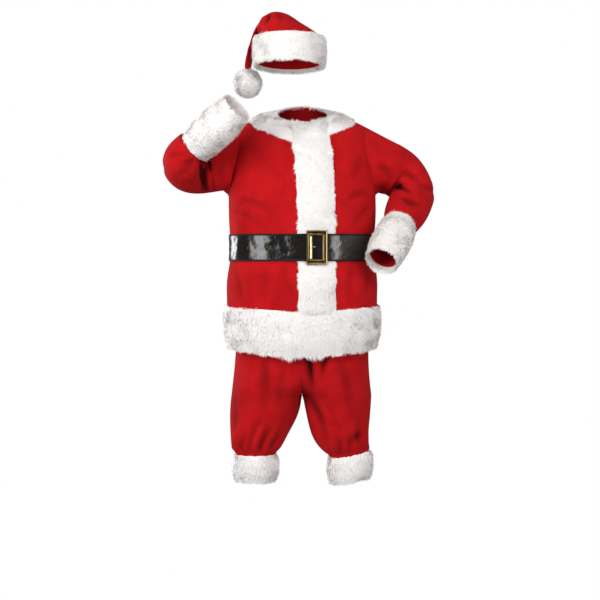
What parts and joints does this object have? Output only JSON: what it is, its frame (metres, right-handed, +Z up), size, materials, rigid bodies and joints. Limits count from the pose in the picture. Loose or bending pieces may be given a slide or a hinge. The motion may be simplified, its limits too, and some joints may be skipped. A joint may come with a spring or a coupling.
{
  "type": "santa suit",
  "caption": "Worn costume suit: red plush jacket with white fur trim, wide black belt with a brass frame buckle, bloused trousers with fur cuffs, and a floppy cap with fur band and pompom.",
  "frame": {"origin": "the neck, in the middle of the jacket between the shoulder seams, 1.50 m above the ground the wearer stands on", "axes": "+Z up, the front of the suit faces -Y, +X towards the wearer's left"},
  "size_m": [0.8876, 0.4879, 1.5683],
  "materials": {
    "plush": "red velour plush, short matte pile with a soft sheen",
    "fur": "white faux fur in soft short locks",
    "vinyl": "glossy black vinyl with matte turned edges",
    "antique_brass": "antiqued gold-tone metal, bright on its edges"
  },
  "bodies": {
    "root": {"jacket_back": "plush", "jacket_front_left": "plush", "jacket_front_right": "plush", "sleeve_left": "plush", "sleeve_right": "plush", "trouser_leg_left": "plush", "trouser_leg_right": "plush", "trouser_waistband": "plush", "hat_crown": "plush", "fur_collar": "fur", "fur_front_band": "fur", "fur_hem_band": "fur", "fur_cuff_left": "fur", "fur_cuff_right": "fur", "fur_leg_cuff_left": "fur", "fur_leg_cuff_right": "fur", "hat_fur_band": "fur", "hat_pompom": "fur", "belt_strap": "vinyl", "belt_buckle": "antique_brass", "belt_bar": "antique_brass", "belt_prong": "antique_brass", "belt_eyelet_1": "antique_brass", "belt_eyelet_2": "antique_brass", "belt_eyelet_3": "antique_brass", "belt_eyelet_4": "antique_brass"}
  },
  "joints": []
}
